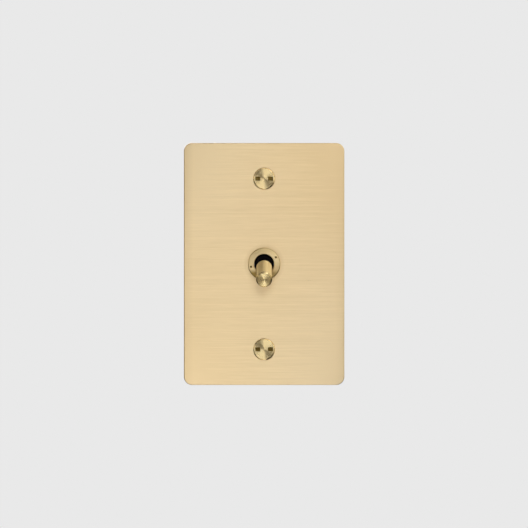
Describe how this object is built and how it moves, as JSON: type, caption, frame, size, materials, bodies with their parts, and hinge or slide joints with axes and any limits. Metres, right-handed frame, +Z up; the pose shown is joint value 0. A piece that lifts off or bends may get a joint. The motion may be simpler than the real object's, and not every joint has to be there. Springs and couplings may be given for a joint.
{
  "type": "toggle light switch",
  "caption": "Wall light switch: brushed brass plate with a turned toggle lever, ring nut, two-pin face screws and a two-way switching mechanism behind.",
  "frame": {"origin": "wall surface, which is the back of the face plate, midway between the two face screws and in line with the toggle", "axes": "+X right and +Z up as seen from the room; the front looks along -Y and +Y goes into the wall"},
  "size_m": [0.0784, 0.0471, 0.1182],
  "materials": {
    "plate_brass": "fine horizontal brushing, clear lacquer",
    "screw_brass": "turned and polished",
    "ring_brass": "turned, satin",
    "lever_brass": "turned, satin",
    "black_nylon": "moulded, fine texture",
    "pin_steel": "ground",
    "natural_nylon": "moulded",
    "spring_steel": "drawn wire",
    "rocker_bronze": "rolled strip",
    "contact_silver": "satin silver alloy",
    "terminal_brass": "rolled strip",
    "binding_brass": "turned",
    "binding_black": "black oxide",
    "zinc_steel": "zinc plated",
    "green_steel": "green plated",
    "front_moulding": "compression moulded",
    "rear_moulding": "compression moulded"
  },
  "bodies": {
    "switch_body": {"face_plate": "plate_brass", "upper_face_screw": "screw_brass", "lower_face_screw": "screw_brass", "bezel_nut": "ring_brass", "pivot_pin": "pin_steel", "fixed_button_upper": "contact_silver", "fixed_button_lower": "contact_silver", "upper_terminal": "terminal_brass", "lower_terminal": "terminal_brass", "common_terminal": "terminal_brass", "upper_terminal_screw": "binding_brass", "lower_terminal_screw": "binding_brass", "common_terminal_screw": "binding_black", "lock_washer": "zinc_steel", "earth_strap": "zinc_steel", "earth_screw": "green_steel", "front_housing": "front_moulding", "rear_housing": "rear_moulding", "housing_screw_1": "zinc_steel", "housing_screw_2": "zinc_steel", "housing_screw_3": "zinc_steel", "housing_screw_4": "zinc_steel"},
    "lever": {"lever_sleeve": "lever_brass", "lever_core": "black_nylon", "plunger_spring": "spring_steel"},
    "plunger": {"plunger": "natural_nylon"},
    "rocker": {"rocker_contact": "rocker_bronze", "rocker_button_upper": "contact_silver", "rocker_button_lower": "contact_silver"}
  },
  "joints": [
    {"name": "lever_pivot", "type": "hinge", "parent": "switch_body", "child": "lever", "pos_m": [0, -0.002, 0], "axis": [-1, 0, 0], "range_deg": [0, 38]},
    {"name": "plunger_slide", "type": "slide", "parent": "lever", "child": "plunger", "axis": [0, -0.9455, -0.3256], "range_m": [0, 0.0008], "stiffness_N_per_m": 1000, "springref_m": -0.001, "deforming": ["plunger_spring"]},
    {"name": "rocker_tilt", "type": "hinge", "parent": "switch_body", "child": "rocker", "pos_m": [0, 0.01107, 0], "axis": [1, 0, 0], "range_deg": [0, 11]}
  ],
  "couplings": [
    {"joint": "rocker_tilt", "follows": "lever_pivot", "ratio": 0.2894}
  ]
}
